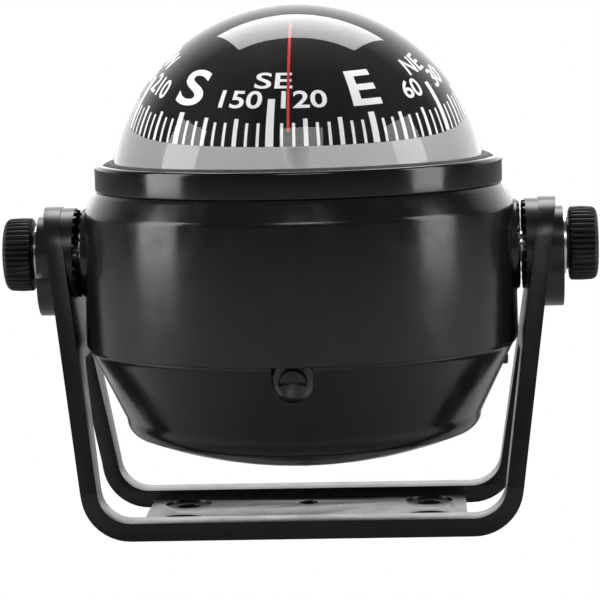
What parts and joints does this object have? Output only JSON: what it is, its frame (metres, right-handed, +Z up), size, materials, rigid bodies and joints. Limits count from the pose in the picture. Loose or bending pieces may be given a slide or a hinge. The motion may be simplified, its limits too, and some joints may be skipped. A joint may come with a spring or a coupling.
{
  "type": "binnacle compass",
  "caption": "Bracket-mounted binnacle compass: a black tilting housing with a liquid-filled dome and a dome-shaped black card.",
  "frame": {"origin": "centre of the bracket's underside, on the surface it is screwed to", "axes": "+Z up; +X along the tilt axis, to the right as seen from the front; -Y is the front, which the reader faces"},
  "size_m": [0.11, 0.0804, 0.0965],
  "materials": {
    "black_abs": "glossy",
    "bracket_nylon": "satin",
    "knob_black": "satin",
    "clear_acrylic": "polished",
    "rubber_black": "matte",
    "white_abs": "satin",
    "card_black": "satin",
    "lubber_red": "satin",
    "brass": "satin",
    "steel": "satin",
    "magnet_grey": "matte",
    "jewel_red": "polished",
    "board_green": "satin",
    "lamp_red": "polished"
  },
  "bodies": {
    "bracket": {"bracket": "bracket_nylon"},
    "housing": {"housing_upper": "black_abs", "housing_lower": "black_abs", "bezel_ring": "black_abs", "dome_gasket": "rubber_black", "dome_lens": "clear_acrylic", "lubber_line": "lubber_red", "capsule_bowl": "white_abs", "capsule_seal": "rubber_black", "diaphragm": "rubber_black", "diaphragm_ring": "brass", "filler_plug": "brass", "pivot_post": "white_abs", "pivot_needle": "steel", "thread_inserts": "brass", "compensator_block": "white_abs", "housing_screws": "steel", "lamp_board": "board_green", "lamp_led": "lamp_red", "cable_grommet": "rubber_black"},
    "left_washer": {"washer_left": "steel"},
    "left_knob": {"knob_left": "knob_black", "stud_left": "steel"},
    "right_washer": {"washer_right": "steel"},
    "right_knob": {"knob_right": "knob_black", "stud_right": "steel"},
    "jewel_bearing": {"jewel": "jewel_red"},
    "cup_bearing": {"jewel_cup": "brass"},
    "card": {"compass_card": "card_black", "card_hub": "white_abs", "card_frame": "white_abs", "card_magnets": "magnet_grey"},
    "front_compensator": {"compensator_shaft_front": "brass", "compensator_magnet_front": "magnet_grey"},
    "side_compensator": {"compensator_shaft_side": "brass", "compensator_magnet_side": "magnet_grey"}
  },
  "joints": [
    {"name": "housing_tilt", "type": "hinge", "parent": "bracket", "child": "housing", "pos_m": [0, 0, 0.051], "axis": [1, 0, 0], "continuous": true},
    {"name": "left_knob_travel", "type": "slide", "parent": "housing", "child": "left_washer", "axis": [-1, 0, 0], "range_m": [0, 0.0016]},
    {"name": "left_knob_turn", "type": "hinge", "parent": "left_washer", "child": "left_knob", "pos_m": [0, 0, 0.051], "axis": [-1, 0, 0], "range_deg": [0, 720]},
    {"name": "right_knob_travel", "type": "slide", "parent": "housing", "child": "right_washer", "axis": [1, 0, 0], "range_m": [0, 0.0016]},
    {"name": "right_knob_turn", "type": "hinge", "parent": "right_washer", "child": "right_knob", "pos_m": [0, 0, 0.051], "axis": [1, 0, 0], "range_deg": [0, 720]},
    {"name": "card_pitch", "type": "hinge", "parent": "housing", "child": "jewel_bearing", "pos_m": [0, 0, 0.077], "axis": [1, 0, 0], "range_deg": [-10, 10]},
    {"name": "card_roll", "type": "hinge", "parent": "jewel_bearing", "child": "cup_bearing", "pos_m": [0, 0, 0.077], "axis": [0, 1, 0], "range_deg": [-10, 10]},
    {"name": "card_turn", "type": "hinge", "parent": "cup_bearing", "child": "card", "pos_m": [0, 0, 0.077], "axis": [0, 0, 1], "continuous": true},
    {"name": "front_compensator_turn", "type": "hinge", "parent": "housing", "child": "front_compensator", "pos_m": [0, 0, 0.0312], "axis": [0, -1, 0], "continuous": true},
    {"name": "side_compensator_turn", "type": "hinge", "parent": "housing", "child": "side_compensator", "pos_m": [0, 0, 0.0312], "axis": [1, 0, 0], "continuous": true}
  ],
  "couplings": [
    {"joint": "left_knob_turn", "follows": "left_knob_travel", "rad_per_m": 7854},
    {"joint": "right_knob_turn", "follows": "right_knob_travel", "rad_per_m": 7854}
  ]
}
